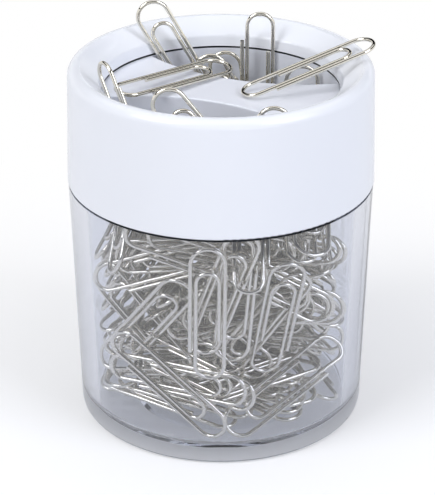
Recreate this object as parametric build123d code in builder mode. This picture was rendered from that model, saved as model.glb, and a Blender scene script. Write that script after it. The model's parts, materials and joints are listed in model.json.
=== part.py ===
from build123d import *
import os
import numpy as np
from scipy.spatial import cKDTree

# Magnetic paper clip holder: a clear cup, a white cap with a bridged mouth, a magnet strip hidden
# around the throat, and the wire clips that it holds. Millimetres, +Z up, origin under the cup.

# Cup
cup_top_radius = 29.9
cup_base_radius = 28.4
cup_shoulder_height = 48.6
cup_wall = 3.3
cup_floor = 3.0
cup_base_round = 1.3
cup_inner_round = 1.6
recess_radius = 16.5
recess_depth = 0.8
neck_wall = 1.15
neck_height = 8.2
bead_width = 0.8
bead_rise = 0.15

# Cap
cap_wall = 1.95
cap_draft = 0.6
cap_ceiling = 2.3
rim_round = 1.8
crest_round = 1.0
funnel_flare = 4.2
funnel_depth = 5.05
lip_width = 1.7
lip_height = 2.05
lip_flare = 0.45
lip_round = 0.8

# Bridge insert
parting_gap = 0.4
ring_wall = 1.5
flange_thickness = 1.5
plate_thickness = 1.8
side_wall = 1.4
bridge_waist = 12.2
opening_arc_radius = 37.4
bridge_turn = 67.7
edge_round = 0.35

# Magnet strip
magnet_thickness = 2.2
magnet_height = 7.0
magnet_slit = 1.5

# Paper clip
wire = 0.8
clip_length = 28.0
clip_width = 7.0
leg_gap = 0.2
loop_spacing = 5.0
outer_leg_start = 5.6
inner_leg_start = 8.0

# Fits
shoulder_gap = 0.3
neck_clearance = 0.3
flange_gap = 0.35
flange_clearance = 0.15
magnet_clearance = 0.2
magnet_headroom = 0.9
magnet_side_room = 1.2
seat_clearance = 0.2
clip_clearance = 0.08

# Clips in the cup
lean_reach = 2.9
pile_limit = 190
pile_groups = 8
pile_seed = 11
dropped_poses = 60
nested_poses = 800
standing_share = 0.45
nest_turns = (0.4, 0.04, 0.04)
wire_samples = 156
rough_stride = 12

# Sizes worked out from the ones above
inner_top_radius = cup_top_radius - cup_wall
cup_taper = (cup_top_radius - cup_base_radius) / cup_shoulder_height
inner_floor_radius = cup_base_radius + cup_taper * cup_floor - cup_wall
neck_radius = inner_top_radius + neck_wall
neck_top = cup_shoulder_height + neck_height
bead_bottom = cup_shoulder_height + (neck_height - bead_width) / 2
bore_radius = neck_radius + neck_clearance
cap_radius = bore_radius + cap_wall
cap_top_radius = cap_radius - cap_draft
cap_bottom = cup_shoulder_height + shoulder_gap
flange_radius = bore_radius - flange_clearance
ring_radius = bore_radius - magnet_side_room - magnet_thickness - magnet_clearance
throat_radius = ring_radius - ring_wall
crest_radius = throat_radius + funnel_flare
ring_bottom = neck_top + flange_gap
ring_height = flange_thickness + magnet_clearance + magnet_height + magnet_headroom
ring_top = ring_bottom + ring_height
lip_bottom = ring_top + parting_gap
lip_top = lip_bottom + lip_height
lip_radius = throat_radius + lip_flare
cap_height = lip_bottom + funnel_depth
funnel_slope = (cap_height - lip_top) / (crest_radius - lip_radius)
ceiling_foot = lip_top + funnel_slope * (lip_width - lip_flare) - cap_ceiling
ceiling_top = lip_top + funnel_slope * (bore_radius - lip_radius) - cap_ceiling
arc_centre = opening_arc_radius + bridge_waist / 2
half_span = (clip_length - wire) / 2
half_width = (clip_width - wire) / 2
leg_pitch = wire + leg_gap
nest_shifts = (0.18 * clip_length, 0.43 * clip_width, 1.5 * wire)


# Cup: a tapered tumbler with a thinner neck that stands up inside the cap
with BuildPart() as cup:
    with BuildSketch(Plane.XZ) as cup_section:
        with BuildLine():
            Polyline(
                (0, recess_depth),
                (recess_radius, recess_depth),
                (recess_radius + recess_depth, 0),
                (cup_base_radius, 0),
                (cup_top_radius, cup_shoulder_height),
                (neck_radius, cup_shoulder_height),
                (neck_radius, bead_bottom),
            )
            # A low bead around the neck grips the cap
            SagittaArc((neck_radius, bead_bottom), (neck_radius, bead_bottom + bead_width), -bead_rise)
            Polyline(
                (neck_radius, bead_bottom + bead_width),
                (neck_radius, neck_top),
                (inner_top_radius, neck_top),
                (inner_top_radius, cup_shoulder_height),
                (inner_floor_radius, cup_floor),
                (0, cup_floor),
                (0, recess_depth),
            )
        make_face()
        base_corner = cup_section.vertices().sort_by_distance((cup_base_radius, 0))[0]
        fillet(base_corner, cup_base_round)
        floor_corner = cup_section.vertices().sort_by_distance((inner_floor_radius, cup_floor))[0]
        fillet(floor_corner, cup_inner_round)
    revolve(axis=Axis.Z)
cup.part.label = "clear_cup"

# Cap: skirt, rounded rim and the funnel that leads down to the throat
with BuildPart() as cap:
    with BuildSketch(Plane.XZ) as cap_section:
        with BuildLine():
            Polyline(
                (throat_radius, lip_bottom),
                (throat_radius + lip_width, lip_bottom),
                (throat_radius + lip_width, ceiling_foot),
                (bore_radius, ceiling_top),
                (bore_radius, cap_bottom),
                (cap_radius, cap_bottom),
                (cap_top_radius, cap_height),
                (crest_radius, cap_height),
                (lip_radius, lip_top),
                close=True,
            )
        make_face()
        rim_corner = cap_section.vertices().sort_by_distance((cap_top_radius, cap_height))[0]
        fillet(rim_corner, rim_round)
        crest_corner = cap_section.vertices().sort_by_distance((crest_radius, cap_height))[0]
        fillet(crest_corner, crest_round)
        lip_corner = cap_section.vertices().sort_by_distance((lip_radius, lip_top))[0]
        fillet(lip_corner, lip_round)
        hem_corners = cap_section.vertices().group_by(Axis.Y)[0]
        fillet(hem_corners, edge_round)
    revolve(axis=Axis.Z)
cap.part.label = "cap_shell"

# Bridge insert: throat ring and flange, with a hollow bridge between two lens-shaped openings
with BuildPart() as insert:
    with BuildSketch(Plane.XZ):
        with BuildLine():
            Polyline(
                (throat_radius, ring_bottom),
                (flange_radius, ring_bottom),
                (flange_radius, ring_bottom + flange_thickness),
                (ring_radius, ring_bottom + flange_thickness),
                (ring_radius, ring_top),
                (throat_radius, ring_top),
                close=True,
            )
        make_face()
    revolve(axis=Axis.Z)
    with BuildSketch(Plane.XY.offset(ring_top)):
        Circle(throat_radius)
        with PolarLocations(arc_centre, 2, start_angle=bridge_turn):
            Circle(opening_arc_radius, mode=Mode.SUBTRACT)
    extrude(amount=-plate_thickness)
    with BuildSketch(Plane.XY.offset(ring_bottom)):
        with PolarLocations(arc_centre, 2, start_angle=bridge_turn):
            Circle(opening_arc_radius + side_wall)
            Circle(opening_arc_radius, mode=Mode.SUBTRACT)
        Circle(throat_radius, mode=Mode.INTERSECT)
    extrude(amount=ring_height)
    long_arcs = insert.edges().filter_by(lambda edge: edge.geom_type == GeomType.CIRCLE)
    bridge_edges = long_arcs.filter_by(lambda edge: abs(edge.radius - opening_arc_radius) < edge_round)
    fillet(bridge_edges.group_by(Axis.Z)[-1], edge_round)
insert.part.label = "bridge_insert"

# Magnet strip: a flexible band bent around the throat ring, its ends a slit apart at the back
with BuildPart() as magnet:
    with BuildSketch(Plane.XY.offset(ring_bottom + flange_thickness + magnet_clearance)):
        Circle(ring_radius + magnet_clearance + magnet_thickness)
        Circle(ring_radius + magnet_clearance, mode=Mode.SUBTRACT)
        with Locations((0, ring_radius)):
            Rectangle(magnet_slit, 4 * magnet_thickness, mode=Mode.SUBTRACT)
    extrude(amount=magnet_height)
magnet.part.label = "magnet_strip"

# Paper clip: one wire with three half-turn bends, its crown at +X and its tail at -X
inner_left = leg_pitch - half_width
inner_right = half_width - leg_pitch
crown_centre = half_span - half_width
tail_radius = half_width - leg_pitch / 2
tail_centre = tail_radius - half_span
loop_centre = half_span - loop_spacing - inner_right
with BuildPart() as clip:
    with BuildLine() as clip_path:
        Line((outer_leg_start - half_span, -half_width), (crown_centre, -half_width))
        CenterArc((crown_centre, 0), half_width, -90, 180)
        Line((crown_centre, half_width), (tail_centre, half_width))
        CenterArc((tail_centre, leg_pitch / 2), tail_radius, 90, 180)
        Line((tail_centre, inner_left), (loop_centre, inner_left))
        CenterArc((loop_centre, 0), inner_right, -90, 180)
        Line((loop_centre, inner_right), (inner_leg_start - half_span, inner_right))
    with BuildSketch(Plane(clip_path.line @ 0, z_dir=clip_path.line % 0)):
        Circle(wire / 2)
    sweep()


def unit(vector):
    return np.array(vector, float) / np.linalg.norm(vector)


def clip_frame(crown, tail, facing):
    """Centre and axes of a clip from its crown point, a point towards its tail and its flat side."""
    along = unit(np.subtract(crown, tail))
    normal = unit(facing - along * np.dot(facing, along))
    return np.array(crown, float) - along * half_span, np.array([along, np.cross(normal, along), normal])


def clip_points(centre, axes):
    return centre + wire_points @ axes


def placed_clip(centre, axes):
    return clip.part.moved(Plane(origin=tuple(centre), x_dir=tuple(axes[0]), z_dir=tuple(axes[2])).location)


def room_in_cup(points):
    """Distance from each wire axis point to the inside of the cup, less half the wire."""
    radius = np.hypot(points[..., 0], points[..., 1])
    height = points[..., 2]
    levels = (cup_floor, cup_shoulder_height)
    wall_radius = np.interp(height, levels, (inner_floor_radius, inner_top_radius))
    past_wall = radius - wall_radius + cup_inner_round
    past_floor = cup_floor + cup_inner_round - height
    corner = cup_inner_round - np.hypot(past_wall, past_floor)
    straight = np.minimum(wall_radius - radius, height - cup_floor)
    under_cap = ring_bottom - height
    inside = np.where((past_wall > 0) & (past_floor > 0), corner, np.minimum(straight, under_cap))
    return inside - wire / 2


def room_at_mouth(points):
    """Distance from each wire axis point to the bridge, throat and funnel, less half the wire.

    The bridge and throat count all the way down, so that a held clip can be drawn straight up.
    """
    radius = np.hypot(points[..., 0], points[..., 1])
    height = points[..., 2]
    turn = np.radians(bridge_turn)
    across = points[..., 0] * np.cos(turn) + points[..., 1] * np.sin(turn)
    along = points[..., 1] * np.cos(turn) - points[..., 0] * np.sin(turn)
    bridge = opening_arc_radius - np.hypot(np.abs(across) - arc_centre, along)
    lean = np.arctan2(lip_flare, lip_height)
    lip = (throat_radius - radius) * np.cos(lean) + (height - lip_bottom) * np.sin(lean)
    slope = np.arctan(funnel_slope)
    cone = (lip_radius - radius) * np.sin(slope) + (height - lip_top) * np.cos(slope)
    rooms = (
        np.maximum(bridge, height - ring_top),
        np.maximum(throat_radius - radius, height - ring_top),
        np.max([lip, cone, lip_bottom - height, height - cap_height], axis=0),
    )
    return np.min(rooms, axis=0) - wire / 2


def is_free(points, taken, room, clearance):
    """Whether whole clips, given by their points, stand clear of the walls and of the wires in place."""
    free = (room(points) > clearance).all(axis=-1)
    reach = np.hypot(wire + clearance, sample_step / np.sqrt(2))
    for stride in (rough_stride, 1):
        chosen = points[free][:, ::stride]
        near = taken.query(chosen.reshape(-1, 3), distance_upper_bound=reach)[0]
        free[free] = np.isinf(near).reshape(chosen.shape[:2]).all(axis=-1)
    return free


def rest_place(centre, axes, direction, taken, room, clearance):
    """Furthest free place of a clip along a direction, raised or lowered only as far as it must be."""
    offsets = np.arange(-throat_radius, lean_reach, wire / 8)
    rises = np.arange(0, cap_height, wire / 2)
    for rise in np.stack([rises, -rises], axis=1).ravel():
        places = centre + offsets[:, None] * direction + (0, 0, rise)
        free = np.flatnonzero(is_free(clip_points(places[:, None], axes), taken, room, clearance))
        if len(free):
            return places[free[-1]]


def squared_axes(along, normal):
    """Axes of several clips from the way their legs run and the rough way their flat sides face."""
    along = along / np.linalg.norm(along, axis=1, keepdims=True)
    normal = normal - along * np.sum(normal * along, axis=1, keepdims=True)
    normal /= np.linalg.norm(normal, axis=1, keepdims=True)
    return np.stack([along, np.cross(normal, along), normal], axis=1)


def dropped_clips(count, random):
    """Poses of loosely tumbled clips at the cup's top, more of them lying than standing."""
    reach = inner_floor_radius * np.sqrt(random.uniform(0, 1, count))
    bearing = random.uniform(0, 2 * np.pi, count)
    heights = np.full(count, ring_bottom)
    centres = np.stack([reach * np.cos(bearing), reach * np.sin(bearing), heights], axis=1)
    along = random.normal(size=(count, 3)) * (1, 1, standing_share)
    return centres, squared_axes(along, random.normal(size=(count, 3)))


def nested_clips(frames, count, random):
    """Poses close beside clips in place, either end first, as clips nest in a pile."""
    chosen = random.integers(len(frames), size=count)
    centres = np.array([frames[i][0] for i in chosen])
    along, across, normal = np.array([frames[i][1] for i in chosen]).transpose(1, 0, 2)
    shift = random.normal(size=(3, count, 1)) * np.reshape(nest_shifts, (3, 1, 1))
    turn = random.normal(size=(3, count, 1)) * np.reshape(nest_turns, (3, 1, 1))
    way = random.choice((-1, 1), size=(count, 1))
    centres = centres + shift[0] * along + shift[1] * across + shift[2] * normal
    return centres, squared_axes(way * along + turn[0] * across + turn[1] * normal, normal + turn[2] * across)


def lowest_place(centres, axes, drops, taken):
    """The deepest free place among several poses, each tried at every drop, or None."""
    points = np.einsum("pj,cjk->cpk", wire_points, axes) + centres[:, None, :]
    fall = drops[:, None] * np.array([0, 0, -1.0])
    free = is_free(points[:, None] + fall[None, :, None, :], taken, room_in_cup, clip_clearance)
    depth = np.where(free, drops - centres[:, 2:], -np.inf)
    pose, drop = np.unravel_index(depth.argmax(), depth.shape)
    return (centres[pose] + fall[drop], axes[pose]) if free.any() else None


# Points along the wire axis
clip_line = clip_path.wires()[0]
sample_step = clip_line.length / wire_samples
wire_points = np.array([tuple(clip_line @ (i / wire_samples)) for i in range(wire_samples + 1)])

# Clips held at the mouth: name, crown point, point towards the tail, way the flat side faces, way it leans.
# Places are in throat radii from the middle of the bridge's top, and each clip moves on until it is seated.
mouth_clips = [
    ("mouth_clip_back_left", (-0.65, 0.79, 0.46), (-0.36, 0.82, -0.07), (0.1, -1, 0.1), (0, 1, 0)),
    ("mouth_clip_on_bridge_left", (0.05, 0.5, 0.03), (-0.83, -0.3, 0.08), (0, -0.15, 1), (0, 0, -1)),
    ("mouth_clip_front_far_left", (-0.5, -0.7, -0.67), (-0.89, -0.3, 0.31), (0.8, 0.5, 0.1), (-0.8, -0.5, 0)),
    ("mouth_clip_front_left", (-0.49, -0.84, 0.31), (-0.23, -0.84, -0.03), (0, -1, 0), (0, -1, 0)),
    ("mouth_clip_front_right", (0.5, -0.8, 0.13), (0.26, -0.8, -0.23), (0, -1, 0), (0, -1, 0)),
    ("mouth_clip_back_centre_left", (-0.15, 0.79, -0.01), (0.05, 0.79, -0.4), (0, -1, 0), (0, 1, 0)),
    ("mouth_clip_back_centre", (0.02, 0.9, -0.02), (0.08, 0.9, -0.45), (0, -1, 0), (0, 1, 0)),
    ("mouth_clip_back_right", (0.32, 0.85, -0.82), (0.32, 0.85, 0.36), (0, -1, 0), (0, 1, 0)),
    ("mouth_clip_back_far_right", (0.7, 0.46, 0.03), (0.7, 0.48, -0.4), (0, -1, 0), (0.8, 0.55, 0)),
    ("mouth_clip_on_bridge_right", (1.27, 0.19, 0.36), (0.23, -0.17, 0.04), (-0.27, -0.1, 1), (0, 0, -1)),
]
bridge_middle = np.array([0, 0, ring_top])
mouth_frames = {}
held_points = np.empty((0, 3))
for name, crown, tail, facing, lean in mouth_clips:
    crown_point = bridge_middle + np.multiply(crown, throat_radius)
    tail_point = bridge_middle + np.multiply(tail, throat_radius)
    centre, axes = clip_frame(crown_point, tail_point, np.array(facing))
    place = rest_place(centre, axes, unit(lean), cKDTree(held_points), room_at_mouth, seat_clearance)
    mouth_frames[name] = (place, axes)
    held_points = np.concatenate([held_points, clip_points(place, axes)])

# Wires in the way of a clip in the cup: the mouth clips, and the space they rise through with the cap
rises = np.arange(0, ring_bottom - cup_floor, wire / 2)[:, None, None] * np.array([0, 0, 1])
taken_points = (held_points + rises).reshape(-1, 3)
taken_points = taken_points[taken_points[:, 2] < ring_bottom + wire]

# Clips that lie against the front of the cup: crown point, point towards the tail, way the flat side faces.
# Places are shares of the cup's inner radius, and of its height up to the bridge. Each clip is pushed
# outwards until it meets the wall or a clip placed before it.
wall_clips = [
    ((-0.08, -0.86, 0.78), (-0.09, -0.86, 0.31), (0, 1, 0)),
    ((0.04, -0.86, 0.05), (-0.79, -0.47, 0.38), (-0.4, -1, 0)),
    ((0.07, -0.87, 0.04), (0.84, -0.41, 0.26), (0.55, 1, 0)),
    ((-0.23, -0.83, 0.63), (-0.73, -0.43, 0.23), (-0.3, -1, -0.3)),
    ((0.42, -0.75, 0.7), (0.28, -0.53, 0.22), (0.14, -1, 0)),
    ((0.19, -0.19, 0.98), (0.19, -0.86, 0.64), (0, -1, 0.8)),
    ((0.51, -0.68, 0.71), (0.61, 0.11, 0.95), (0.3, -0.6, 1)),
    ((-0.89, -0.21, 0.54), (-0.53, -0.47, 0.38), (-0.5, -0.8, 0.2)),
    ((-0.63, -0.56, 0.61), (-0.59, -0.08, 0.85), (-0.9, -0.3, 0.3)),
    ((0.7, -0.47, 0.44), (0.11, -0.47, 0.61), (0.1, -1, 0.2)),
    ((0.81, -0.39, 0.43), (0.3, -0.41, 0.44), (0.2, -1, 0.3)),
    ((0.83, -0.36, 0.33), (0.3, -0.35, 0.34), (0.2, -1, 0.2)),
    ((-0.81, -0.41, 0.6), (-0.36, -0.49, 0.63), (-0.2, -1, 0.3)),
    ((-0.76, -0.49, 0.12), (-0.8, 0.45, 0.18), (-0.1, -0.3, 1)),
    ((0.32, -0.6, 0.18), (-0.38, -0.53, 0.48), (0.1, -1, 0.1)),
    ((-0.19, -0.38, 0.03), (-0.71, -0.36, 0.04), (0, -0.2, 1)),
    ((-0.02, -0.73, 0.01), (-0.71, -0.49, 0.01), (0, 0, 1)),
]
floor_middle = np.array([0, 0, cup_floor])
cup_room = np.array([inner_top_radius, inner_top_radius, ring_bottom - cup_floor])
wall_frames = []
for crown, tail, facing in wall_clips:
    crown_point = floor_middle + crown * cup_room
    tail_point = floor_middle + tail * cup_room
    centre, axes = clip_frame(crown_point, tail_point, np.array(facing))
    outward = unit((centre[0], centre[1], 0))
    place = rest_place(centre, axes, outward, cKDTree(taken_points), room_in_cup, clip_clearance)
    wall_frames.append((place, axes))
    taken_points = np.concatenate([taken_points, clip_points(place, axes)])

# The rest settle one by one, each in the lowest free place among clips dropped in and clips nested beside
# those in place
random = np.random.default_rng(pile_seed)
long_fall = np.arange(0, ring_bottom - cup_floor, wire)
short_fall = np.arange(0, wire, wire / 8)
pile_frames = []
for _ in range(pile_limit):
    taken = cKDTree(taken_points)
    dropped = lowest_place(*dropped_clips(dropped_poses, random), long_fall, taken)
    nested = lowest_place(*nested_clips(wall_frames + pile_frames, nested_poses, random), short_fall, taken)
    found = [frame for frame in (dropped, nested) if frame]
    if found:
        place, axes = min(found, key=lambda frame: frame[0][2])
        place, axes = lowest_place(place[None], axes[None], short_fall, taken)
        pile_frames.append((place, axes))
        taken_points = np.concatenate([taken_points, clip_points(place, axes)])
pile_frames.sort(key=lambda frame: frame[0][2])

os.makedirs("parts", exist_ok=True)
for piece in (cup, cap, insert, magnet):
    export_step(piece.part, f"parts/{piece.part.label}.step")
for name, frame in mouth_frames.items():
    mouth_clip = placed_clip(*frame)
    mouth_clip.label = name
    export_step(mouth_clip, f"parts/{name}.step")
for number, frame in enumerate(wall_frames, 1):
    wall_clip = placed_clip(*frame)
    wall_clip.label = f"wall_clip_{number:02d}"
    export_step(wall_clip, f"parts/{wall_clip.label}.step")
layer_ends = np.linspace(0, len(pile_frames), pile_groups + 1).astype(int)
for number, (first, last) in enumerate(zip(layer_ends[:-1], layer_ends[1:]), 1):
    layer_clips = [placed_clip(*frame) for frame in pile_frames[first:last]]
    layer = Compound(label=f"clip_layer_{number}", children=layer_clips)
    export_step(layer, f"parts/{layer.label}.step")
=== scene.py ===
import json
import math
import bmesh
import bpy
import numpy as np
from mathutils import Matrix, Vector


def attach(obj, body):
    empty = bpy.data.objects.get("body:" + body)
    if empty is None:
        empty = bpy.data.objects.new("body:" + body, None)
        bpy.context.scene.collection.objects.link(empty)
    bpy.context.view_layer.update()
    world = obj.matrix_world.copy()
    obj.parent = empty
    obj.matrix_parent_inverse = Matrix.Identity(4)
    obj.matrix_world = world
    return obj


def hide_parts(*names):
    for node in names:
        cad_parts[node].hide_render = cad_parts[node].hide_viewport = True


# Magnetic paper clip holder: finishes, bent-wire clips, studio and camera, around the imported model.

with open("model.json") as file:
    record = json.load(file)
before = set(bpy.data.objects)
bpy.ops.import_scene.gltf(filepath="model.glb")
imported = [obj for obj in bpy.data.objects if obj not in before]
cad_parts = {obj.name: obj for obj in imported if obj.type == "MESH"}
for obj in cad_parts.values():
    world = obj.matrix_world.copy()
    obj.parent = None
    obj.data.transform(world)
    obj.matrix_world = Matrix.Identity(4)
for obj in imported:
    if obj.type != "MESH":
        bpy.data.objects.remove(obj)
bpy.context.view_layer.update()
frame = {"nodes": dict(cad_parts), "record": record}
MM = 0.001

# The view in the photograph, in the 435 by 495 pixel frame
FRAME_HEIGHT_PX = 495
FOCAL_LENGTH_PX = 2000
AIM_RIGHT_OF_CENTRE_PX = 3.5
AIM_ABOVE_CENTRE_PX = 14.0
AIM_HEIGHT = 36 * MM
CAMERA_DISTANCE = 397.9 * MM
CAMERA_ELEVATION = math.radians(25.73)
CAMERA_NEAR = 10 * MM
SENSOR_MM = 36

# The paper clip, as its solids are bent
WIRE = 0.8 * MM
CLIP_LENGTH = 28 * MM
CLIP_WIDTH = 7 * MM
LEG_GAP = 0.2 * MM
LOOP_SPACING = 5 * MM
OUTER_LEG_START = 5.6 * MM
INNER_LEG_START = 8 * MM

# How finely the wires are drawn
PILE_WIRE_SIDES = 12
PILE_BEND_STEPS = 16
MOUTH_WIRE_SIDES = 24
MOUTH_BEND_STEPS = 40
SHARP_ANGLE = math.radians(50)

# How the lie of a clip is read from its solid
WELD_DISTANCE = WIRE / 100
SEARCH_ROUNDS = 4
SEARCH_STEPS = 91
SEARCH_NARROWING = 30
LEG_ZONE = 0.4 * CLIP_WIDTH

# Clear polystyrene, with upright waves from the mould
CLEAR_COLOUR = "ECEEF4"
CLEAR_SHADE = "B6BDD0"
CLEAR_ABSORPTION = 0.03 / MM
CLEAR_INDEX = 1.59
FLOW_WIDTH = 7 * MM
FLOW_UPRIGHT_STRETCH = 0.12

# White polystyrene, with orange peel and rubbed patches
CAP_COLOUR = "EAEDF5"
CAP_ROUGHNESS = 0.22
INSERT_COLOUR = "E6E9F3"
INSERT_ROUGHNESS = 0.3
WHITE_INDEX = 1.5
PEEL_SIZE = 2.2 * MM
RUB_SIZE = 14 * MM
RUB_SPREAD = 0.2

# The gap between the cap's lip and the insert under it, where a dark colour is painted as the shade in the
# gap
GAP_RADIUS = 24.5 * MM
GAP_REACH = 1.5 * MM
GAP_HEIGHT = 66.95 * MM
GAP_SIZE = 0.25 * MM
GAP_SHADE_COLOUR = "23262F"

# The magnet and the clips
FERRITE_COLOUR = "1E1D1F"
FERRITE_GRAIN = 0.4 * MM
NICKEL_COLOUR = "E6E2D7"
NICKEL_ROUGHEST = 0.05
HANDLING_SIZE = 3 * MM

# The studio, in metres and watts
WHITE = "FFFFFF"
FLOOR_COLOUR = "D8D9DD"
FLOOR_SIZE = 6.0
FLOOR_CLEARANCE = 0.02 * MM
FLOOR_LIFT = 0.34
FLOOR_FADE_START = 0.04
FLOOR_FADE_END = 0.13
MIRRORED_SHARE = 0.45
CEILING_COLOUR = "1C1F26"
CEILING_SIZE = 7.0
CEILING_HEIGHT = 1.3
LAMP_AIM = (0, 0, 0.04)


def linear(colour):
    """An sRGB hex colour as linear red, green, blue and alpha."""
    shares = [int(colour[i:i + 2], 16) / 255 for i in (0, 2, 4)]
    return [c / 12.92 if c <= 0.04045 else ((c + 0.055) / 1.055) ** 2.4 for c in shares] + [1.0]


def add(tree, kind, inputs=None, **settings):
    """Adds a node with its settings, and fills its sockets with values or with other nodes' outputs."""
    made = tree.nodes.new(kind)
    for name, value in settings.items():
        setattr(made, name, value)
    for socket, value in (inputs or {}).items():
        if isinstance(value, bpy.types.NodeSocket):
            tree.links.new(value, made.inputs[socket])
        else:
            made.inputs[socket].default_value = value
    return made


def new_material(name):
    """An empty material with its tree and its object coordinates."""
    material = bpy.data.materials.new(name)
    material.use_nodes = True
    tree = material.node_tree
    tree.nodes.clear()
    place = add(tree, "ShaderNodeTexCoord").outputs["Object"]
    return material, tree, place


def surface(tree, shader):
    """Makes a shader the surface of its material."""
    add(tree, "ShaderNodeOutputMaterial", {"Surface": shader})


def noise(tree, place, size, detail):
    """Noise with features of about a size in metres, as a value from 0 to 1."""
    made = add(tree, "ShaderNodeTexNoise", {"Vector": place, "Scale": 1 / size, "Detail": detail})
    return made.outputs["Fac"]


def relief(tree, height, strength, depth):
    """The normal of a bump of some depth in metres."""
    made = add(tree, "ShaderNodeBump", {"Height": height, "Strength": strength, "Distance": depth})
    return made.outputs["Normal"]


def clear_polystyrene():
    """Moulded crystal polystyrene: glassy, with faint upright waves where it flowed in the mould. It takes
    a little of the light on its way, so the thick base and the edges of the wall look bluish grey."""
    material, tree, place = new_material("clear_polystyrene")
    drawn = add(tree, "ShaderNodeMapping", {"Vector": place, "Scale": (1, 1, FLOW_UPRIGHT_STRETCH)})
    wave = noise(tree, drawn.outputs["Vector"], FLOW_WIDTH, detail=1.0)
    shader = add(tree, "ShaderNodeBsdfPrincipled", {
        "Base Color": linear(CLEAR_COLOUR), "Roughness": 0.015, "IOR": CLEAR_INDEX,
        "Transmission Weight": 1.0, "Normal": relief(tree, wave, strength=0.12, depth=0.2 * MM),
    })
    tint = add(tree, "ShaderNodeVolumeAbsorption", {
        "Color": linear(CLEAR_SHADE), "Density": CLEAR_ABSORPTION,
    })
    add(tree, "ShaderNodeOutputMaterial", {
        "Surface": shader.outputs["BSDF"], "Volume": tint.outputs["Volume"],
    })
    return material


def white_plastic(name, colour, gloss_roughness):
    """Moulded high-impact polystyrene: bluish white, glossy, with the mould's faint orange peel, and
    painted shade in the parting gap, which draws the thin dark line around the throat."""
    material, tree, place = new_material(name)
    axes = add(tree, "ShaderNodeSeparateXYZ", {"Vector": place}).outputs
    level = add(tree, "ShaderNodeCombineXYZ", {"X": axes["X"], "Y": axes["Y"]})
    radius = add(tree, "ShaderNodeVectorMath", {0: level.outputs["Vector"]}, operation="LENGTH")
    near_throat = add(tree, "ShaderNodeMath", {
        0: radius.outputs["Value"], 1: GAP_RADIUS, 2: GAP_REACH,
    }, operation="COMPARE")
    in_gap = add(tree, "ShaderNodeMath", {0: axes["Z"], 1: GAP_HEIGHT, 2: GAP_SIZE}, operation="COMPARE")
    # Painted shade: the faces inside the parting gap are coloured dark in place of the shadow that falls
    # there
    painted_gap_shade = add(tree, "ShaderNodeMath", {
        0: near_throat.outputs[0], 1: in_gap.outputs[0],
    }, operation="MULTIPLY")
    tint = add(tree, "ShaderNodeMix", {
        "Factor": painted_gap_shade.outputs[0], "A": linear(colour), "B": linear(GAP_SHADE_COLOUR),
    }, data_type="RGBA")
    peel = noise(tree, place, PEEL_SIZE, detail=2.0)
    rough = add(tree, "ShaderNodeMapRange", {
        "Value": noise(tree, place, RUB_SIZE, detail=4.0),
        "To Min": gloss_roughness * (1 - RUB_SPREAD), "To Max": gloss_roughness * (1 + RUB_SPREAD),
    })
    shader = add(tree, "ShaderNodeBsdfPrincipled", {
        "Base Color": tint.outputs["Result"], "Roughness": rough.outputs["Result"], "IOR": WHITE_INDEX,
        "Normal": relief(tree, peel, strength=0.05, depth=0.1 * MM),
    })
    surface(tree, shader.outputs["BSDF"])
    return material


def bonded_ferrite():
    """Ferrite powder in rubber, extruded as a strip: near black, dull, with a fine grain."""
    material, tree, place = new_material("bonded_ferrite")
    grain = noise(tree, place, FERRITE_GRAIN, detail=3.0)
    shader = add(tree, "ShaderNodeBsdfPrincipled", {
        "Base Color": linear(FERRITE_COLOUR), "Roughness": 0.7,
        "Normal": relief(tree, grain, strength=0.3, depth=0.05 * MM),
    })
    surface(tree, shader.outputs["BSDF"])
    return material


def nickel_wire():
    """Nickel-plated steel wire: bright and faintly warm, its polish broken by soft handling marks."""
    material, tree, place = new_material("nickel_plated_wire")
    rough = add(tree, "ShaderNodeMapRange", {
        "Value": noise(tree, place, HANDLING_SIZE, detail=3.0), "To Min": 0.0, "To Max": NICKEL_ROUGHEST,
    })
    shader = add(tree, "ShaderNodeBsdfPrincipled", {
        "Base Color": linear(NICKEL_COLOUR), "Metallic": 1.0, "Roughness": rough.outputs["Result"],
    })
    surface(tree, shader.outputs["BSDF"])
    return material


def clip_outline(bend_steps):
    """The wire's path in the clip's own plane, crown at +X: straight legs and three half-turn bends."""
    half_span = (CLIP_LENGTH - WIRE) / 2
    half_width = (CLIP_WIDTH - WIRE) / 2
    pitch = WIRE + LEG_GAP
    tail_radius = half_width - pitch / 2
    loop_radius = half_width - pitch
    bends = (
        (half_span - half_width, 0, half_width, -90),
        (tail_radius - half_span, pitch / 2, tail_radius, 90),
        (half_span - LOOP_SPACING - loop_radius, 0, loop_radius, -90),
    )
    path = [(OUTER_LEG_START - half_span, -half_width)]
    for x, y, radius, start in bends:
        for step in range(bend_steps + 1):
            angle = math.radians(start + 180 * step / bend_steps)
            path.append((x + radius * math.cos(angle), y + radius * math.sin(angle)))
    path.append((INNER_LEG_START - half_span, loop_radius))
    mesh = bpy.data.meshes.new("clip_outline")
    mesh.from_pydata([(x, y, 0) for x, y in path], [(i, i + 1) for i in range(len(path) - 1)], [])
    return bpy.data.objects.new("clip_outline", mesh)


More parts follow.
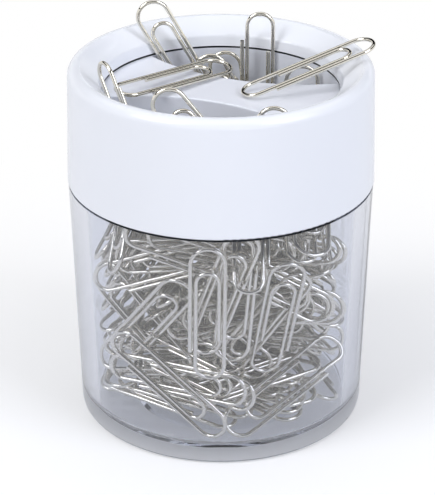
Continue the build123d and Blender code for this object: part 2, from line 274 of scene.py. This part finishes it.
def clip_tree():
    """Geometry Nodes: a round wire along the clip's outline, laid at each point along its own axes."""
    tree = bpy.data.node_groups.new("bent_wire_clips", "GeometryNodeTree")
    wanted = (
        ("Lies", "NodeSocketGeometry"),
        ("Outline", "NodeSocketObject"),
        ("Wire diameter", "NodeSocketFloat"),
        ("Wire sides", "NodeSocketInt"),
        ("Finish", "NodeSocketMaterial"),
    )
    for name, kind in wanted:
        tree.interface.new_socket(name, in_out="INPUT", socket_type=kind)
    tree.interface.new_socket("Clips", in_out="OUTPUT", socket_type="NodeSocketGeometry")
    given = add(tree, "NodeGroupInput").outputs
    outline = add(tree, "GeometryNodeObjectInfo", {"Object": given["Outline"]})
    path = add(tree, "GeometryNodeMeshToCurve", {"Mesh": outline.outputs["Geometry"]})
    radius = add(tree, "ShaderNodeMath", {0: given["Wire diameter"], 1: 0.5}, operation="MULTIPLY")
    section = add(tree, "GeometryNodeCurvePrimitiveCircle", {
        "Resolution": given["Wire sides"], "Radius": radius.outputs[0],
    })
    wire = add(tree, "GeometryNodeCurveToMesh", {
        "Curve": path.outputs["Curve"], "Profile Curve": section.outputs["Curve"], "Fill Caps": True,
    })
    along = add(tree, "GeometryNodeInputNamedAttribute", {"Name": "along"}, data_type="FLOAT_VECTOR")
    facing = add(tree, "GeometryNodeInputNamedAttribute", {"Name": "facing"}, data_type="FLOAT_VECTOR")
    turn = add(tree, "FunctionNodeAxesToRotation", {
        "Primary Axis": along.outputs["Attribute"], "Secondary Axis": facing.outputs["Attribute"],
    }, primary_axis="X", secondary_axis="Z")
    laid = add(tree, "GeometryNodeInstanceOnPoints", {
        "Points": given["Lies"], "Instance": wire.outputs["Mesh"], "Rotation": turn.outputs["Rotation"],
    })
    solid = add(tree, "GeometryNodeRealizeInstances", {"Geometry": laid.outputs["Instances"]})
    finish = add(tree, "GeometryNodeSetMaterial", {
        "Geometry": solid.outputs["Geometry"], "Material": given["Finish"],
    })
    add(tree, "NodeGroupOutput", {"Clips": finish.outputs["Geometry"]})
    return tree


def clip_clouds(node):
    """The points of each clip in a CAD node, one array for each clip."""
    mesh = bmesh.new()
    mesh.from_mesh(node.data)
    bmesh.ops.remove_doubles(mesh, verts=mesh.verts, dist=WELD_DISTANCE)
    unseen = set(mesh.verts)
    clouds = []
    while unseen:
        front = [unseen.pop()]
        cloud = []
        while front:
            vert = front.pop()
            cloud.append(vert.co[:])
            beside = {edge.other_vert(vert) for edge in vert.link_edges} & unseen
            unseen -= beside
            front += beside
        clouds.append(np.array(cloud))
    mesh.free()
    return clouds


def clip_lie(cloud):
    """Centre, direction to the crown and flat side of a clip, read from the points of its solid."""
    level, steep, flat = np.linalg.svd(cloud - cloud.mean(axis=0), full_matrices=False)[2]
    # The legs run square to the clip's narrowest width
    best, span = 0.0, math.pi / 2
    for _ in range(SEARCH_ROUNDS):
        angles = best + np.linspace(-span, span, SEARCH_STEPS)
        sides = np.outer(np.cos(angles), level) + np.outer(np.sin(angles), steep)
        best = angles[np.ptp(cloud @ sides.T, axis=0).argmin()]
        span /= SEARCH_NARROWING
    across = math.cos(best) * level + math.sin(best) * steep
    along = np.cross(across, flat)
    middle = np.array([np.ptp(cloud @ axis) / 2 + (cloud @ axis).min() for axis in (along, across, flat)])
    centre = middle @ np.array([along, across, flat])
    # The outer leg stops short of the tail, so that corner of the clip is the emptiest
    x, y = (cloud - centre) @ along, (cloud - centre) @ across
    corners = [(way, side) for way in (1, -1) for side in (1, -1)]
    empty = [(x * way)[y * side < -LEG_ZONE].min() for way, side in corners]
    way, side = corners[int(np.argmax(empty))]
    return centre, along * way, np.cross(along * way, across * side)


def clip_pieces(name, body, nodes, tree, outline, sides, finish):
    """Bent-wire clips in one mesh, laid where the solids of some CAD nodes lie."""
    lies = [clip_lie(cloud) for node in nodes for cloud in clip_clouds(frame["nodes"][node])]
    points = bpy.data.meshes.new(name)
    points.from_pydata([lie[0] for lie in lies], [], [])
    for place, attribute in ((1, "along"), (2, "facing")):
        values = np.array([lie[place] for lie in lies], np.float32)
        points.attributes.new(attribute, "FLOAT_VECTOR", "POINT").data.foreach_set("vector", values.ravel())
    piece = bpy.data.objects.new(name, points)
    bpy.context.scene.collection.objects.link(piece)
    modifier = piece.modifiers.new("clips", "NODES")
    modifier.node_group = tree
    sockets = {item.name: item.identifier for item in tree.interface.items_tree if item.in_out == "INPUT"}
    modifier[sockets["Outline"]] = outline
    modifier[sockets["Wire diameter"]] = WIRE
    modifier[sockets["Wire sides"]] = sides
    modifier[sockets["Finish"]] = finish
    made = bpy.data.meshes.new_from_object(piece.evaluated_get(bpy.context.evaluated_depsgraph_get()))
    piece.modifiers.clear()
    piece.data = made
    made.name = name
    made.shade_smooth()
    made.set_sharp_from_angle(angle=SHARP_ANGLE)
    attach(piece, body)
    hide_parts(*nodes)


def finish_node(name, material):
    """Gives a CAD node its material."""
    frame["nodes"][name].data.materials.clear()
    frame["nodes"][name].data.materials.append(material)


def card(name, size, place, aim, material):
    """A flat stage card, centred on a place and turned towards a point."""
    half = size / 2
    mesh = bpy.data.meshes.new(name)
    corners = [(-half, -half, 0), (half, -half, 0), (half, half, 0), (-half, half, 0)]
    mesh.from_pydata(corners, [], [(0, 1, 2, 3)])
    mesh.materials.append(material)
    made = bpy.data.objects.new(name, mesh)
    made.location = place
    made.rotation_euler = (Vector(aim) - Vector(place)).to_track_quat("Z", "Y").to_euler()
    bpy.context.scene.collection.objects.link(made)


def softbox(name, size, place, watts, colour):
    """A square lamp at a place, turned towards the holder."""
    lamp = bpy.data.lights.new(name, "AREA")
    lamp.shape = "SQUARE"
    lamp.size = size
    lamp.energy = watts
    lamp.color = linear(colour)[:3]
    made = bpy.data.objects.new(name, lamp)
    made.location = place
    made.rotation_euler = (Vector(LAMP_AIM) - Vector(place)).to_track_quat("-Z", "Y").to_euler()
    bpy.context.scene.collection.objects.link(made)


def seen_directly(tree):
    """1 for a ray from the camera or refracted on its way, a share of 1 for a mirrored one, else 0."""
    path = add(tree, "ShaderNodeLightPath").outputs
    mirrored = add(tree, "ShaderNodeMath", {
        0: path["Is Glossy Ray"], 1: MIRRORED_SHARE,
    }, operation="MULTIPLY")
    straight = add(tree, "ShaderNodeMath", {
        0: path["Is Camera Ray"], 1: path["Is Transmission Ray"],
    }, operation="MAXIMUM")
    either = add(tree, "ShaderNodeMath", {
        0: straight.outputs[0], 1: mirrored.outputs[0],
    }, operation="MAXIMUM")
    return either.outputs[0]


def floor_paper():
    """White paper, lifted a little where it is seen, that fades to plain white away from the holder."""
    material, tree, place = new_material("white_paper_floor")
    paper = add(tree, "ShaderNodeBsdfDiffuse", {"Color": linear(FLOOR_COLOUR)})
    seen = seen_directly(tree)
    lift = add(tree, "ShaderNodeMath", {0: seen, 1: FLOOR_LIFT}, operation="MULTIPLY")
    glow = add(tree, "ShaderNodeEmission", {"Color": linear(WHITE), "Strength": lift.outputs[0]})
    near = add(tree, "ShaderNodeAddShader", {0: paper.outputs[0], 1: glow.outputs[0]})
    away = add(tree, "ShaderNodeVectorMath", {0: place}, operation="LENGTH")
    fade = add(tree, "ShaderNodeMapRange", {
        "Value": away.outputs["Value"], "From Min": FLOOR_FADE_START, "From Max": FLOOR_FADE_END,
        "To Max": seen,
    }, interpolation_type="SMOOTHSTEP")
    far = add(tree, "ShaderNodeEmission", {"Color": linear(WHITE), "Strength": 1.0})
    both = add(tree, "ShaderNodeMixShader", {
        0: fade.outputs["Result"], 1: near.outputs[0], 2: far.outputs[0],
    })
    surface(tree, both.outputs[0])
    return material


def ceiling_paint():
    """Dark paint, which the wires mirror as their dark streaks."""
    material, tree, _ = new_material("dark_ceiling_paint")
    paint = add(tree, "ShaderNodeBsdfDiffuse", {"Color": linear(CEILING_COLOUR)})
    surface(tree, paint.outputs[0])
    return material


def studio():
    """A white surround, a paper floor, a dark ceiling and three softboxes."""
    world = bpy.data.worlds.new("studio")
    bpy.context.scene.world = world
    world.use_nodes = True
    tree = world.node_tree
    tree.nodes.clear()
    surround = add(tree, "ShaderNodeBackground", {"Color": linear(WHITE), "Strength": 1.0})
    add(tree, "ShaderNodeOutputWorld", {"Surface": surround.outputs[0]})
    card("floor", FLOOR_SIZE, place=(0, 0, FLOOR_CLEARANCE), aim=(0, 0, 1), material=floor_paper())
    card("ceiling", CEILING_SIZE, place=(0, 0, CEILING_HEIGHT), aim=(0, 0, 0), material=ceiling_paint())
    softbox("key", size=0.5, place=(-0.58, -0.43, 0.7), watts=4.8, colour=WHITE)
    softbox("fill", size=0.5, place=(0.6, -0.45, 0.55), watts=3.9, colour="F4F7FF")
    softbox("top", size=1.4, place=(0, 0.1, 0.95), watts=5.6, colour=WHITE)


def camera():
    """The camera of the photograph, in front of the holder and looking down at it."""
    lens = bpy.data.cameras.new("photograph")
    lens.sensor_width = SENSOR_MM
    lens.lens = FOCAL_LENGTH_PX / FRAME_HEIGHT_PX * SENSOR_MM
    lens.shift_x = -AIM_RIGHT_OF_CENTRE_PX / FRAME_HEIGHT_PX
    lens.shift_y = -AIM_ABOVE_CENTRE_PX / FRAME_HEIGHT_PX
    lens.clip_start = CAMERA_NEAR
    made = bpy.data.objects.new("photograph", lens)
    back = CAMERA_DISTANCE * math.cos(CAMERA_ELEVATION)
    made.location = (0, -back, AIM_HEIGHT + CAMERA_DISTANCE * math.sin(CAMERA_ELEVATION))
    made.rotation_euler = (math.pi / 2 - CAMERA_ELEVATION, 0, 0)
    bpy.context.scene.collection.objects.link(made)
    bpy.context.scene.camera = made


finish_node("clear_cup", clear_polystyrene())
finish_node("cap_shell", white_plastic("white_cap_polystyrene", CAP_COLOUR, CAP_ROUGHNESS))
finish_node("bridge_insert", white_plastic("white_insert_polystyrene", INSERT_COLOUR, INSERT_ROUGHNESS))
finish_node("magnet_strip", bonded_ferrite())

nickel = nickel_wire()
wire_clips = clip_tree()
pile_outline = clip_outline(PILE_BEND_STEPS)
mouth_outline = clip_outline(MOUTH_BEND_STEPS)
for body, nodes in frame["record"]["behaviour"]["bodies"].items():
    clip_nodes = [node for node in nodes if "clip" in node]
    if body == "cup":
        clip_pieces("pile_of_clips", body, clip_nodes, wire_clips, pile_outline, PILE_WIRE_SIDES, nickel)
    elif clip_nodes:
        clip_pieces(f"{body}_wire", body, clip_nodes, wire_clips, mouth_outline, MOUTH_WIRE_SIDES, nickel)

studio()
camera()
bpy.context.scene.view_settings.view_transform = "Standard"
